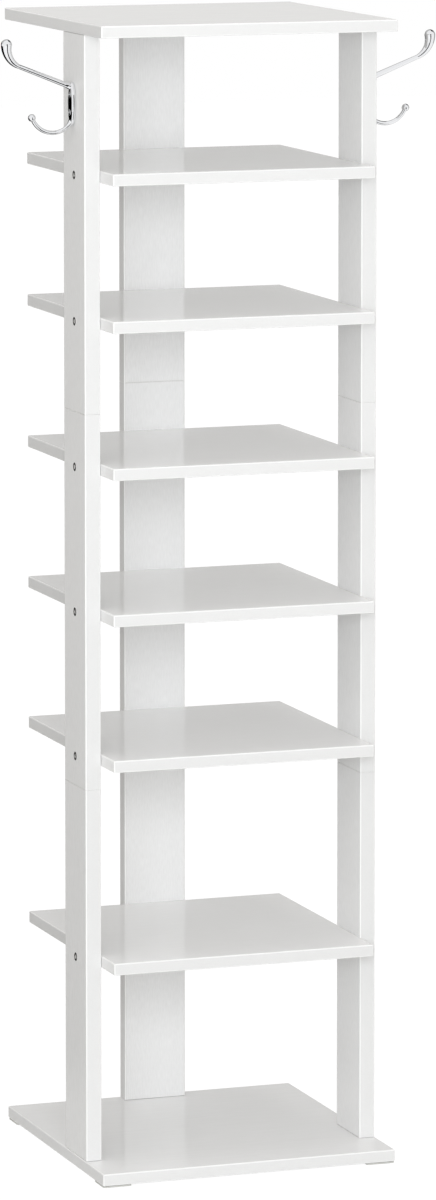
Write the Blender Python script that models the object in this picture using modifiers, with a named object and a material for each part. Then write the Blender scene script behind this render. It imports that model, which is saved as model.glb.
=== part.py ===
"""Free-standing white shoe rack with eight levels and two coat hooks.

A square top and base of melamine-faced board are held apart by three flat posts, one at
each side and one at the back. Six square shelves are screwed between the posts. Each post
is three equal lengths doweled end to end, and each side post carries a chromed double hook.

Metres, +Z up, the front faces -Y. The origin is on the floor, under the middle of the base.
"""
import math
from collections import namedtuple

import bmesh
import bpy
from mathutils import Matrix, Vector

# Boards
TOP_WIDTH = 0.335
TOP_DEPTH = 0.335
BOARD_THICKNESS = 0.013
SHELF_DEPTH = 0.297
SHELF_COUNT = 6
EDGE_ROUND = 0.0012
EDGE_ROUND_STEPS = 2

# Clear heights of the two tall bays; the shoe bays above share the rest evenly,
# but for a little more under the top
BOTTOM_BAY = 0.2115
BOOT_BAY = 0.207
TOP_BAY_EXTRA = 0.0012

# Posts
POST_THICKNESS = 0.0175
POST_WIDTH = 0.0715
POST_LENGTH = 0.406
POST_LEVELS = ("lower", "middle", "upper")
SIDE_POST_INSET = 0.001
SIDE_POST_SETBACK = 0.0604
BACK_POST_INSET = 0.0025

# Feet
PAD_SIZE = 0.032
PAD_THICKNESS = 0.0016
PAD_INSET = 0.0005

# Fits and meshing
SEAT_GAP = 0.0003
CUT_OVERSHOOT = 0.002
WELD_DISTANCE = 0.00001
SHARP_ANGLE = math.radians(35)

# Countersunk assembly screws with a hexagon socket
SHELF_SCREW_LENGTH = 0.048
BASE_SCREW_LENGTH = 0.040
SCREW_HEAD_DIAMETER = 0.009
SCREW_RIM = 0.0008
SCREW_SHANK_DIAMETER = 0.005
SCREW_RECESS = 0.0005
SCREW_TIP = 0.004
SOCKET_ACROSS_CORNERS = 0.0042
SOCKET_DEPTH = 0.002
TURN_STEPS = 12

# Dowels
DOWEL_DIAMETER = 0.008
JOINT_DOWEL_LENGTH = 0.036
DOWEL_CHAMFER = 0.001
TOP_DOWEL_IN_POST = 0.014
TOP_DOWEL_COVER = 0.005

# Coat hooks
HOOK_DROP = 0.0755
HOOK_PLATE_HEIGHT = 0.046
HOOK_PLATE_WIDTH = 0.017
HOOK_PLATE_THICKNESS = 0.0045
HOOK_PLATE_ROUND = 0.0014
HOOK_PLATE_SIDES = 32
HOOK_PLATE_RIM_ANGLE = math.radians(60)
ARM_ROOT_HEIGHT = 0.0175
ARM_RISE = math.radians(21.5)
ARM_STRAIGHT = 0.0632
ARM_ROOT_RADIUS = 0.0031
ARM_NECK_RADIUS = 0.0024
CURL_RADIUS = 0.0234
CURL_END = math.radians(95)
CURL_STEPS = 8
TIP_RADIUS = 0.006
PRONG_ROOT_DROP = 0.0195
PRONG_ARC_RADIUS = 0.0246
PRONG_START = math.radians(213)
PRONG_END = math.radians(333)
PRONG_STEPS = 11
PRONG_RADIUS = 0.0023
BALL_RADIUS = 0.0042
ROUND_END_STEPS = 4
ROUND_END_LAST = math.radians(82)
HOOK_BEVEL_RESOLUTION = 4

# Raised countersunk screws through the hook plates
HOOK_SCREW_SPACING = 0.019
HOOK_SCREW_LENGTH = 0.016
HOOK_SCREW_HEAD_DIAMETER = 0.0068
HOOK_SCREW_RIM = 0.0004
HOOK_SCREW_SHANK_DIAMETER = 0.0034
HOOK_SCREW_CROWN = 0.0009
HOOK_SCREW_TIP = 0.003
CROWN_STEPS = 3

# Places worked out from the sizes above
BASE_BOTTOM = PAD_THICKNESS + SEAT_GAP
BASE_TOP = BASE_BOTTOM + BOARD_THICKNESS
POST_FOOT = BASE_TOP + SEAT_GAP
POST_STEP = POST_LENGTH + SEAT_GAP
POST_HEAD = POST_FOOT + len(POST_LEVELS) * POST_STEP - SEAT_GAP
TOP_BOTTOM = POST_HEAD + SEAT_GAP
SIDE_POST_X = TOP_WIDTH / 2 - SIDE_POST_INSET - POST_THICKNESS / 2
SIDE_POST_Y = -TOP_DEPTH / 2 + SIDE_POST_SETBACK + POST_WIDTH / 2
BACK_POST_Y = TOP_DEPTH / 2 - BACK_POST_INSET - POST_THICKNESS / 2
SHELF_WIDTH = 2 * (SIDE_POST_X - POST_THICKNESS / 2 - SEAT_GAP)
SHELF_Y = BACK_POST_Y - POST_THICKNESS / 2 - SEAT_GAP - SHELF_DEPTH / 2
SHOE_BAY_COUNT = SHELF_COUNT - 1
SHOE_BAYS = TOP_BOTTOM - BASE_TOP - BOTTOM_BAY - BOOT_BAY - SHELF_COUNT * BOARD_THICKNESS
SHOE_BAY = (SHOE_BAYS - TOP_BAY_EXTRA) / SHOE_BAY_COUNT
HOOK_HEIGHT = TOP_BOTTOM - HOOK_DROP

Post = namedtuple("Post", "name x y size inward across")
Fastener = namedtuple("Fastener", "mesh bore bore_radius")


# Scene set-up

for leftover in list(bpy.data.objects):
    bpy.data.objects.remove(leftover, do_unlink=True)

rack_collection = bpy.data.collections.new("shoe_rack")
cutter_collection = bpy.data.collections.new("shoe_rack_cutters")
bpy.context.scene.collection.children.link(rack_collection)
bpy.context.scene.collection.children.link(cutter_collection)
rack_origin = bpy.data.objects.new("shoe_rack_origin", None)
rack_collection.objects.link(rack_origin)


def finish(name, colour, roughness, metallic=0.0):
    """A Principled BSDF finish; the colour is linear RGB."""
    material = bpy.data.materials.new(name)
    material.use_nodes = True
    shader = material.node_tree.nodes["Principled BSDF"]
    shader.inputs["Base Color"].default_value = (*colour, 1.0)
    shader.inputs["Roughness"].default_value = roughness
    shader.inputs["Metallic"].default_value = metallic
    return material


white_melamine = finish("white_melamine", (0.86, 0.86, 0.85), 0.35)
chrome = finish("chrome", (0.80, 0.80, 0.81), 0.06, 1.0)
zinc_steel = finish("zinc_plated_steel", (0.42, 0.42, 0.41), 0.30, 1.0)
beech = finish("beech", (0.62, 0.42, 0.24), 0.60)
foam_pad = finish("foam_pad", (0.55, 0.55, 0.54), 0.80)


def add_piece(name, mesh, material, location=(0, 0, 0), direction=None):
    """Adds one sub-part; a turned piece points its -Z end along the direction."""
    piece = bpy.data.objects.new(name, mesh)
    piece.parent = rack_origin
    piece.location = location
    if direction:
        piece.rotation_euler = direction.to_track_quat("-Z", "Y").to_euler()
    if not mesh.materials:
        mesh.materials.append(material)
    rack_collection.objects.link(piece)
    return piece


def add_cutter(name, mesh, location=(0, 0, 0), direction=None):
    """Adds a shape that only cuts or joins others."""
    cutter = bpy.data.objects.new(name, mesh)
    cutter.location = location
    if direction:
        cutter.rotation_euler = direction.to_track_quat("-Z", "Y").to_euler()
    cutter.hide_render = True
    cutter.display_type = "WIRE"
    cutter_collection.objects.link(cutter)
    return cutter


def combine(piece, other, operation):
    """Cuts the other shape out of the piece, or joins it on."""
    boolean = piece.modifiers.new(other.name, "BOOLEAN")
    boolean.operation = operation
    boolean.solver = "EXACT"
    boolean.object = other


def baked(shape):
    """The shape with its modifiers applied, as a mesh of its own; the object goes."""
    bpy.context.view_layer.update()
    evaluated = shape.evaluated_get(bpy.context.evaluated_depsgraph_get())
    mesh = bpy.data.meshes.new_from_object(evaluated)
    bpy.data.objects.remove(shape, do_unlink=True)
    mesh.shade_smooth()
    mesh.set_sharp_from_angle(angle=SHARP_ANGLE)
    return mesh


def box_mesh(name, size):
    """A plain box about its own middle."""
    shape = bmesh.new()
    bmesh.ops.create_cube(shape, size=1.0, matrix=Matrix.Diagonal((*size, 1.0)))
    mesh = bpy.data.meshes.new(name)
    shape.to_mesh(mesh)
    shape.free()
    return mesh


def add_panel(name, size, centre, material):
    """A board with its edges rounded over."""
    panel = add_piece(name, box_mesh(name, size), material, centre)
    rounding = panel.modifiers.new("edge_round", "BEVEL")
    rounding.width = EDGE_ROUND
    rounding.segments = EDGE_ROUND_STEPS
    rounding.limit_method = "ANGLE"
    return panel


def turned_mesh(name, profile):
    """A solid turned about Z; the profile's (radius, height) points run from its top down."""
    mesh = bpy.data.meshes.new(name)
    points = [(radius, 0.0, height) for radius, height in profile]
    edges = [(index, index + 1) for index in range(len(points) - 1)]
    mesh.from_pydata(points, edges, [])
    shape = add_cutter(name, mesh)
    turning = shape.modifiers.new("turning", "SCREW")
    turning.steps = TURN_STEPS
    turning.render_steps = TURN_STEPS
    turning.use_merge_vertices = True
    turning.merge_threshold = WELD_DISTANCE
    return baked(shape)


# Fasteners

def screw_profile(length, head_radius, rim, shank_radius, tip, crown=0.0):
    """Countersunk screw from the top of its head down to its point."""
    profile = [(0.0, crown)]
    for step in range(1, CROWN_STEPS if crown else 1):
        turn = math.radians(90) * step / CROWN_STEPS
        profile.append((head_radius * math.sin(turn), crown * math.cos(turn)))
    cone_foot = rim + head_radius - shank_radius
    profile += [
        (head_radius, 0.0),
        (head_radius, -rim),
        (shank_radius, -cone_foot),
        (shank_radius, -(length - tip)),
        (0.0, -length),
    ]
    return profile


def bore_profile(length, head_radius, rim, shank_radius, above):
    """The hole that such a screw sits in, open above its head."""
    cone_foot = rim + head_radius - shank_radius
    return [
        (0.0, above),
        (head_radius + SEAT_GAP, above),
        (head_radius + SEAT_GAP, -rim),
        (shank_radius + SEAT_GAP, -cone_foot),
        (shank_radius + SEAT_GAP, -(length + SEAT_GAP)),
        (0.0, -(length + SEAT_GAP)),
    ]


def assembly_screw(name, length):
    """A countersunk screw with a hexagon socket, and its hole."""
    sizes = (SCREW_HEAD_DIAMETER / 2, SCREW_RIM, SCREW_SHANK_DIAMETER / 2)
    blank = add_cutter(name, turned_mesh(name, screw_profile(length, *sizes, SCREW_TIP)))
    hexagon = bmesh.new()
    bmesh.ops.create_cone(
        hexagon,
        cap_ends=True,
        segments=6,
        radius1=SOCKET_ACROSS_CORNERS / 2,
        radius2=SOCKET_ACROSS_CORNERS / 2,
        depth=2 * SOCKET_DEPTH,
    )
    socket_mesh = bpy.data.meshes.new(name + "_socket")
    hexagon.to_mesh(socket_mesh)
    hexagon.free()
    socket = add_cutter(name + "_socket", socket_mesh)
    combine(blank, socket, "DIFFERENCE")
    mesh = baked(blank)
    bpy.data.objects.remove(socket, do_unlink=True)
    bore = turned_mesh(name + "_bore", bore_profile(length, *sizes, SCREW_RECESS + CUT_OVERSHOOT))
    return Fastener(mesh, bore, SCREW_SHANK_DIAMETER / 2 + SEAT_GAP)


def hook_screw():
    """A raised countersunk screw for a hook plate, and its hole."""
    sizes = (HOOK_SCREW_HEAD_DIAMETER / 2, HOOK_SCREW_RIM, HOOK_SCREW_SHANK_DIAMETER / 2)
    profile = screw_profile(HOOK_SCREW_LENGTH, *sizes, HOOK_SCREW_TIP, HOOK_SCREW_CROWN)
    mesh = turned_mesh("hook_screw", profile)
    bore = turned_mesh("hook_screw_bore", bore_profile(HOOK_SCREW_LENGTH, *sizes, CUT_OVERSHOOT))
    return Fastener(mesh, bore, HOOK_SCREW_SHANK_DIAMETER / 2 + SEAT_GAP)


def dowel(name, length):
    """A chamfered dowel about its own middle, and its hole."""
    radius = DOWEL_DIAMETER / 2
    half = length / 2
    profile = [
        (0.0, half),
        (radius - DOWEL_CHAMFER, half),
        (radius, half - DOWEL_CHAMFER),
        (radius, -half + DOWEL_CHAMFER),
        (radius - DOWEL_CHAMFER, -half),
        (0.0, -half),
    ]
    hole_radius = radius + SEAT_GAP
    hole_half = half + SEAT_GAP
    hole = [(0.0, hole_half), (hole_radius, hole_half), (hole_radius, -hole_half), (0.0, -hole_half)]
    return Fastener(turned_mesh(name, profile), turned_mesh(name + "_bore", hole), hole_radius)


def fasten(name, fastener, material, place, direction, pieces):
    """Sets one fastener in its place and bores its hole in the pieces that it enters."""
    add_piece(name, fastener.mesh, material, place, direction)
    cutter = add_cutter(name + "_bore", fastener.bore, place, direction)
    for piece in pieces:
        combine(piece, cutter, "DIFFERENCE")


shelf_screw = assembly_screw("shelf_screw", SHELF_SCREW_LENGTH)
base_screw = assembly_screw("base_screw", BASE_SCREW_LENGTH)
plate_screw = hook_screw()
top_dowel_in_top = BOARD_THICKNESS - TOP_DOWEL_COVER
joint_dowel = dowel("joint_dowel", JOINT_DOWEL_LENGTH)
top_dowel = dowel("top_dowel", TOP_DOWEL_IN_POST + SEAT_GAP + top_dowel_in_top)
UP = Vector((0, 0, 1))


# Base, top and shelves: melamine-faced board with banded edges

board_size = (TOP_WIDTH, TOP_DEPTH, BOARD_THICKNESS)
base_centre = (0, 0, BASE_BOTTOM + BOARD_THICKNESS / 2)
top_centre = (0, 0, TOP_BOTTOM + BOARD_THICKNESS / 2)
base_board = add_panel("base_board", board_size, base_centre, white_melamine)
top_board = add_panel("top_board", board_size, top_centre, white_melamine)

shelves = []
shelf_bottom = BASE_TOP + BOTTOM_BAY
for number in range(1, SHELF_COUNT + 1):
    shelf_centre = (0, SHELF_Y, shelf_bottom + BOARD_THICKNESS / 2)
    shelf_size = (SHELF_WIDTH, SHELF_DEPTH, BOARD_THICKNESS)
    shelves.append(add_panel(f"shelf_{number}", shelf_size, shelf_centre, white_melamine))
    shelf_bottom += BOARD_THICKNESS + (BOOT_BAY if number == 1 else SHOE_BAY)


# Posts: three lengths each, butted end to end over a dowel

side_size = (POST_THICKNESS, POST_WIDTH, POST_LENGTH)
back_size = (POST_WIDTH, POST_THICKNESS, POST_LENGTH)
POSTS = (
    Post("left", -SIDE_POST_X, SIDE_POST_Y, side_size, Vector((1, 0, 0)), Vector((0, 1, 0))),
    Post("right", SIDE_POST_X, SIDE_POST_Y, side_size, Vector((-1, 0, 0)), Vector((0, 1, 0))),
    Post("back", 0.0, BACK_POST_Y, back_size, Vector((0, -1, 0)), Vector((1, 0, 0))),
)


def add_post(post):
    """The lengths of one post and the dowels on its axis, each with its lowest and highest point."""
    stack = []
    lengths = []
    for level, level_name in enumerate(POST_LEVELS):
        low = POST_FOOT + level * POST_STEP
        centre = (post.x, post.y, low + POST_LENGTH / 2)
        length = add_panel(f"{post.name}_post_{level_name}", post.size, centre, white_melamine)
        lengths.append(length)
        stack.append((length, low, low + POST_LENGTH))
    for joint in range(1, len(POST_LEVELS)):
        height = POST_FOOT + joint * POST_STEP - SEAT_GAP / 2
        name = f"{post.name}_joint_dowel_{joint}"
        place = (post.x, post.y, height)
        fasten(name, joint_dowel, beech, place, -UP, lengths[joint - 1 : joint + 1])
        reach = JOINT_DOWEL_LENGTH / 2
        stack.append((bpy.data.objects[name], height - reach, height + reach))
    top_place = (post.x, post.y, POST_HEAD + SEAT_GAP / 2 + (top_dowel_in_top - TOP_DOWEL_IN_POST) / 2)
    fasten(f"{post.name}_top_dowel", top_dowel, beech, top_place, -UP, (lengths[-1], top_board))
    return stack


def in_the_way(stack, height, reach):
    """The pieces on a post's axis that a level hole at this height runs into."""
    return [piece for piece, low, high in stack if low - reach < height < high + reach]


def outer_face(post, height, depth=0.0):
    """The point on the middle line of a post's outer face, at this height and depth."""
    middle = Vector((post.x, post.y, height))
    return middle - post.inward * (POST_THICKNESS / 2 - depth)


post_stacks = {post.name: add_post(post) for post in POSTS}

for post in POSTS:
    stack = post_stacks[post.name]
    for number, shelf in enumerate(shelves, 1):
        place = outer_face(post, shelf.location.z, SCREW_RECESS)
        bored = [shelf, *in_the_way(stack, shelf.location.z, shelf_screw.bore_radius)]
        fasten(f"{post.name}_shelf_screw_{number}", shelf_screw, zinc_steel, place, post.inward, bored)
    for number, side in enumerate((-1, 1), 1):
        quarter = post.across * side * POST_WIDTH / 4
        place = Vector((post.x, post.y, BASE_BOTTOM + SCREW_RECESS)) + quarter
        bored = (base_board, stack[0][0])
        fasten(f"{post.name}_base_screw_{number}", base_screw, zinc_steel, place, UP, bored)


# Coat hooks: one casting each, an oval plate with a long upper arm and a short lower prong

def round_end(points, x, z, angle, radius, start=0.0):
    """Adds the rings of a round end of a bar, centred at x, z and pointing along the angle."""
    for step in range(1, ROUND_END_STEPS + 1):
        turn = start + (ROUND_END_LAST - start) * step / ROUND_END_STEPS
        reach = radius * math.sin(turn)
        ring = (x + reach * math.cos(angle), z + reach * math.sin(angle), radius * math.cos(turn))
        points.append(ring)


def arm_route():
    """Centre line and radius of the upper arm: a straight rise, a swelling curl and a round tip."""
    root_x = ARM_ROOT_RADIUS * math.sin(ARM_RISE) + SEAT_GAP
    points = [(root_x, ARM_ROOT_HEIGHT, ARM_ROOT_RADIUS)]
    neck_x = root_x + ARM_STRAIGHT * math.cos(ARM_RISE)
    neck_z = ARM_ROOT_HEIGHT + ARM_STRAIGHT * math.sin(ARM_RISE)
    for step in range(CURL_STEPS + 1):
        share = step / CURL_STEPS
        angle = ARM_RISE + (CURL_END - ARM_RISE) * share
        x = neck_x + CURL_RADIUS * (math.sin(angle) - math.sin(ARM_RISE))
        z = neck_z + CURL_RADIUS * (math.cos(ARM_RISE) - math.cos(angle))
        points.append((x, z, ARM_NECK_RADIUS + (TIP_RADIUS - ARM_NECK_RADIUS) * share))
    round_end(points, x, z, CURL_END, TIP_RADIUS)
    return points


def prong_route():
    """Centre line and radius of the lower prong: one arc that ends in a ball."""
    root_x = PRONG_RADIUS + SEAT_GAP
    centre_x = root_x - PRONG_ARC_RADIUS * math.cos(PRONG_START)
    centre_z = -PRONG_ROOT_DROP - PRONG_ARC_RADIUS * math.sin(PRONG_START)
    points = []
    for step in range(PRONG_STEPS + 1):
        angle = PRONG_START + (PRONG_END - PRONG_START) * step / PRONG_STEPS
        x = centre_x + PRONG_ARC_RADIUS * math.cos(angle)
        z = centre_z + PRONG_ARC_RADIUS * math.sin(angle)
        points.append((x, z, PRONG_RADIUS))
    heading = PRONG_END + math.radians(90)
    neck = math.acos(PRONG_RADIUS / BALL_RADIUS)
    ball_x = x + BALL_RADIUS * math.sin(neck) * math.cos(heading)
    ball_z = z + BALL_RADIUS * math.sin(neck) * math.sin(heading)
    round_end(points, ball_x, ball_z, heading, BALL_RADIUS, -neck)
    return points


def bar(name, route):
    """A round bar of changing radius along a route in the X-Z plane, as a closed mesh."""
    curve = bpy.data.curves.new(name, "CURVE")
    curve.dimensions = "3D"
    curve.bevel_depth = 1.0
    curve.bevel_resolution = HOOK_BEVEL_RESOLUTION
    curve.use_fill_caps = True
    spline = curve.splines.new("POLY")
    spline.points.add(len(route) - 1)
    for point, (x, z, radius) in zip(spline.points, route):
        point.co = (x, 0.0, z, 1.0)
        point.radius = radius
    mesh = baked(add_cutter(name, curve))
    shape = bmesh.new()
    shape.from_mesh(mesh)
    bmesh.ops.remove_doubles(shape, verts=shape.verts, dist=WELD_DISTANCE)
    bmesh.ops.recalc_face_normals(shape, faces=shape.faces)
    shape.to_mesh(mesh)
    shape.free()
    return add_cutter(name, mesh)


def hook_mesh():
    """The hook with its mounting face on X = 0 and the middle of its plate at the origin."""
    oval = bmesh.new()
    turn_outward = Matrix.Rotation(math.radians(90), 4, "Y")
    stretch = Matrix.Diagonal((1.0, HOOK_PLATE_WIDTH / 2, HOOK_PLATE_HEIGHT / 2, 1.0))
    lift = Matrix.Translation((HOOK_PLATE_THICKNESS / 2, 0, 0))
    bmesh.ops.create_cone(
        oval,
        cap_ends=True,
        segments=HOOK_PLATE_SIDES,
        radius1=1.0,
        radius2=1.0,
        depth=HOOK_PLATE_THICKNESS,
        matrix=lift @ stretch @ turn_outward,
    )
    plate_mesh = bpy.data.meshes.new("hook_plate")
    oval.to_mesh(plate_mesh)
    oval.free()
    plate = add_cutter("hook_plate", plate_mesh)
    rounding = plate.modifiers.new("edge_round", "BEVEL")
    rounding.width = HOOK_PLATE_ROUND
    rounding.segments = EDGE_ROUND_STEPS
    rounding.limit_method = "ANGLE"
    rounding.angle_limit = HOOK_PLATE_RIM_ANGLE
    bars = [bar("hook_arm", arm_route()), bar("hook_prong", prong_route())]
    for each_bar in bars:
        combine(plate, each_bar, "UNION")
    mesh = baked(plate)
    for each_bar in bars:
        bpy.data.objects.remove(each_bar, do_unlink=True)
    return mesh


coat_hook = hook_mesh()
for post in POSTS[:2]:
    seat = outer_face(post, HOOK_HEIGHT, -SEAT_GAP)
    hook = add_piece(f"{post.name}_coat_hook", coat_hook, chrome, seat)
    hook.rotation_euler.z = math.radians(180 if post.inward.x > 0 else 0)
    for number, side in enumerate((1, -1), 1):
        height = HOOK_HEIGHT + side * HOOK_SCREW_SPACING / 2
        place = outer_face(post, height, -SEAT_GAP - HOOK_PLATE_THICKNESS)
        bored = [hook, *in_the_way(post_stacks[post.name], height, plate_screw.bore_radius)]
        fasten(f"{post.name}_hook_screw_{number}", plate_screw, zinc_steel, place, post.inward, bored)


# Feet: thin square pads under the corners of the base

pad_x = TOP_WIDTH / 2 - PAD_INSET - PAD_SIZE / 2
pad_y = TOP_DEPTH / 2 - PAD_INSET - PAD_SIZE / 2
for depth_name, depth_side in (("front", -1), ("back", 1)):
    for width_name, width_side in (("left", -1), ("right", 1)):
        pad_mesh = box_mesh("foot_pad", (PAD_SIZE, PAD_SIZE, PAD_THICKNESS))
        pad_centre = (width_side * pad_x, depth_side * pad_y, PAD_THICKNESS / 2)
        add_piece(f"foot_pad_{depth_name}_{width_name}", pad_mesh, foam_pad, pad_centre)
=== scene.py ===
import math

import bmesh
import bpy
from mathutils import Matrix, Vector


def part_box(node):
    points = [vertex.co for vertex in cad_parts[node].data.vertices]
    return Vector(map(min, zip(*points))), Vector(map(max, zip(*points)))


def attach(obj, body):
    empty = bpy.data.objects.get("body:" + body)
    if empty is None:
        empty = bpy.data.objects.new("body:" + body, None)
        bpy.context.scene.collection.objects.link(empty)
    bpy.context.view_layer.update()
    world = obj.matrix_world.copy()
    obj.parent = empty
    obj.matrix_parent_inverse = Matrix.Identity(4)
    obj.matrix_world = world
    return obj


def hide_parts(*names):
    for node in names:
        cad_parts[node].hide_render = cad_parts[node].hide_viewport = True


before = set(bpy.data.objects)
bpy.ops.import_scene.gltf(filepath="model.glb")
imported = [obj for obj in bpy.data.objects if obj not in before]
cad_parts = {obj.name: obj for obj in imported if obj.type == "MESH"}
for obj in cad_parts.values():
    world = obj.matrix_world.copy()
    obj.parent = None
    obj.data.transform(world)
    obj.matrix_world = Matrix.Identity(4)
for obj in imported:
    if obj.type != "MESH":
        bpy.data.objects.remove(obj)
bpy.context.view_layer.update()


# Camera
# The rack is seen from the front left and from a little above its top, through a long lens.
# The lens is shifted down, as on a view camera, so that the posts stand nearly upright.

LOOK_DOWN_DEGREES = 5.666
TURN_DEGREES = 19.606

lens = bpy.data.cameras.new("camera")
lens.lens = 190.5
lens.shift_y = -0.30
lens.clip_end = 60
camera = bpy.data.objects.new("camera", lens)
camera.location = (-2.290, -6.492, 1.683)
camera.rotation_euler = (math.radians(90 - LOOK_DOWN_DEGREES), 0, math.radians(-TURN_DEGREES))
bpy.context.scene.collection.objects.link(camera)
bpy.context.scene.camera = camera


# Foot pads
# Four thin squares of dense pale grey EVA foam, die-cut with small round corners and stuck under the
# corners of the base. Their rims are a little rounded.

# The axes by number
X, Y, Z = range(3)

PAD_CORNER = 0.0025
PAD_CORNER_STEPS = 5
PAD_EDGE = 0.0004
PAD_EDGE_STEPS = 3


def srgb(code):
    """The linear colour of an sRGB hex value."""
    shares = [int(code[place:place + 2], 16) / 255 for place in (1, 3, 5)]
    linear = [share / 12.92 if share <= 0.04045 else ((share + 0.055) / 1.055) ** 2.4 for share in shares]
    return (*linear, 1.0)


def add_node(tree, kind, inputs=None, **settings):
    """Adds a shader node, sets its settings, and fills or links its inputs."""
    node = tree.nodes.new(kind)
    for setting, value in settings.items():
        setattr(node, setting, value)
    for socket, value in (inputs or {}).items():
        if isinstance(value, bpy.types.NodeSocket):
            tree.links.new(value, node.inputs[socket])
        else:
            node.inputs[socket].default_value = value
    return node


def new_finish(name):
    """An empty material with its node tree and its surface shader."""
    material = bpy.data.materials.new(name)
    material.use_nodes = True
    return material, material.node_tree, material.node_tree.nodes["Principled BSDF"]


def add_mesh(name, shape, materials):
    """Turns a bmesh into an object with these materials, shaded smooth."""
    mesh = bpy.data.meshes.new(name)
    for face in shape.faces:
        face.smooth = True
    shape.to_mesh(mesh)
    shape.free()
    for material in materials:
        mesh.materials.append(material)
    piece = bpy.data.objects.new(name, mesh)
    bpy.context.scene.collection.objects.link(piece)
    return piece


def stand_for(piece, node):
    """Puts the piece in the place of its CAD node."""
    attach(piece, "root")
    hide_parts(node)


def box_shape(low, high):
    """A plain box between two corners."""
    shape = bmesh.new()
    stretch = Matrix.Diagonal((*(high - low), 1.0))
    bmesh.ops.create_cube(shape, size=1.0, matrix=Matrix.Translation((low + high) / 2) @ stretch)
    return shape


def span(edge, axis):
    """How far an edge runs along an axis."""
    return abs(edge.verts[0].co[axis] - edge.verts[1].co[axis])


def round_off(shape, edges, radius, steps):
    """Rounds these edges of a shape, and gives back the new faces."""
    made = bmesh.ops.bevel(
        shape, geom=edges, offset=radius, segments=steps, profile=0.5, affect="EDGES")
    return made["faces"]


# EVA foam: fine closed cells of about 0.4 mm, drawn at 0.6 mm, with no gloss
foam, tree, surface = new_finish("grey_eva_foam")
place = add_node(tree, "ShaderNodeTexCoord")
foam_cells = add_node(tree, "ShaderNodeTexVoronoi", {
    "Vector": place.outputs["Object"], "Scale": 1 / 0.0006})
foam_tone = add_node(tree, "ShaderNodeMix", {
    0: foam_cells.outputs["Distance"], 6: srgb("#C6C6C2"), 7: srgb("#D8D8D4")}, data_type="RGBA")
foam_bump = add_node(tree, "ShaderNodeBump", {
    "Height": foam_cells.outputs["Distance"], "Strength": 0.5, "Distance": 0.0002})
tree.links.new(foam_tone.outputs[2], surface.inputs["Base Color"])
tree.links.new(foam_bump.outputs["Normal"], surface.inputs["Normal"])
surface.inputs["Roughness"].default_value = 0.85

for corner in ("front_left", "front_right", "back_left", "back_right"):
    pad_name = "foot_pad_" + corner
    low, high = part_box(pad_name)
    shape = box_shape(low, high)
    upright = [edge for edge in shape.edges if span(edge, Z) > PAD_EDGE]
    round_off(shape, upright, PAD_CORNER, PAD_CORNER_STEPS)
    rims = [edge for edge in shape.edges if span(edge, Z) < PAD_EDGE]
    round_off(shape, rims, PAD_EDGE, PAD_EDGE_STEPS)
    pad = add_mesh(pad_name + "_foam", shape, [foam])
    stand_for(pad, pad_name)


# Base board
# A square of 13 mm particleboard faced with white melamine paper that carries a faint pressed grain.
# A 1.5 mm PVC band is glued round its edges and rounded over, with a hairline of glue at the joint.

EDGE_ROUND = 0.0012
EDGE_STEPS = 4
END_BREAK = 0.0002
END_STEPS = 2
JOINT_CLOSING = 0.0001
BAND_THICKNESS = 0.0015
GLUE_LINE = 0.00010

# A face looks along an axis when this much of its normal does
SQUARE_ON = 0.999

# The order of a board's materials
FACE, BAND, GLUE, HIGHLIGHTED_EDGE = range(4)


def melamine(name, grain_axis, pore_width, pore_length, tones, roughness):
    """White melamine paper pressed on a polished plate; fine pores run along one axis."""
    material, tree, surface = new_finish(name)
    place = add_node(tree, "ShaderNodeTexCoord")
    which = add_node(tree, "ShaderNodeObjectInfo")
    start = add_node(tree, "ShaderNodeVectorMath", {
        0: place.outputs["Object"], 1: which.outputs["Random"]}, operation="ADD")
    stretch = [1 / pore_width] * 3
    stretch[grain_axis] = 1 / pore_length
    along = add_node(tree, "ShaderNodeVectorMath", {0: start.outputs[0], 1: stretch}, operation="MULTIPLY")
    pores = add_node(tree, "ShaderNodeTexNoise", {
        "Vector": along.outputs[0], "Scale": 1.0, "Detail": 3.0, "Roughness": 0.55})
    pore_depth = add_node(tree, "ShaderNodeMapRange", {
        "Value": pores.outputs["Fac"], "From Min": 0.34, "From Max": 0.66})
    peel = add_node(tree, "ShaderNodeTexNoise", {
        "Vector": start.outputs[0], "Scale": 1 / 0.030, "Detail": 1.0})
    tone = add_node(tree, "ShaderNodeMix", {
        0: pore_depth.outputs["Result"], 6: srgb(tones[0]), 7: srgb(tones[1])}, data_type="RGBA")
    gloss = add_node(tree, "ShaderNodeMapRange", {
        "Value": pore_depth.outputs["Result"], "To Min": roughness[0], "To Max": roughness[1]})
    waves = add_node(tree, "ShaderNodeBump", {
        "Height": peel.outputs["Fac"], "Strength": 0.10, "Distance": 0.0002})
    relief = add_node(tree, "ShaderNodeBump", {
        "Height": pore_depth.outputs["Result"], "Normal": waves.outputs["Normal"],
        "Strength": 0.10, "Distance": 0.00003})
    tree.links.new(tone.outputs[2], surface.inputs["Base Color"])
    tree.links.new(gloss.outputs["Result"], surface.inputs["Roughness"])
    tree.links.new(relief.outputs["Normal"], surface.inputs["Normal"])
    surface.inputs["IOR"].default_value = 1.5
    return material


# On the boards the pores hardly show: 1.6 mm here, where the real ones are about 0.3 mm
board_face = melamine(
    "white_melamine_board", grain_axis=X, pore_width=0.0016, pore_length=0.040,
    tones=("#F2F2F2", "#F6F6F6"), roughness=(0.13, 0.09))


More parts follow.
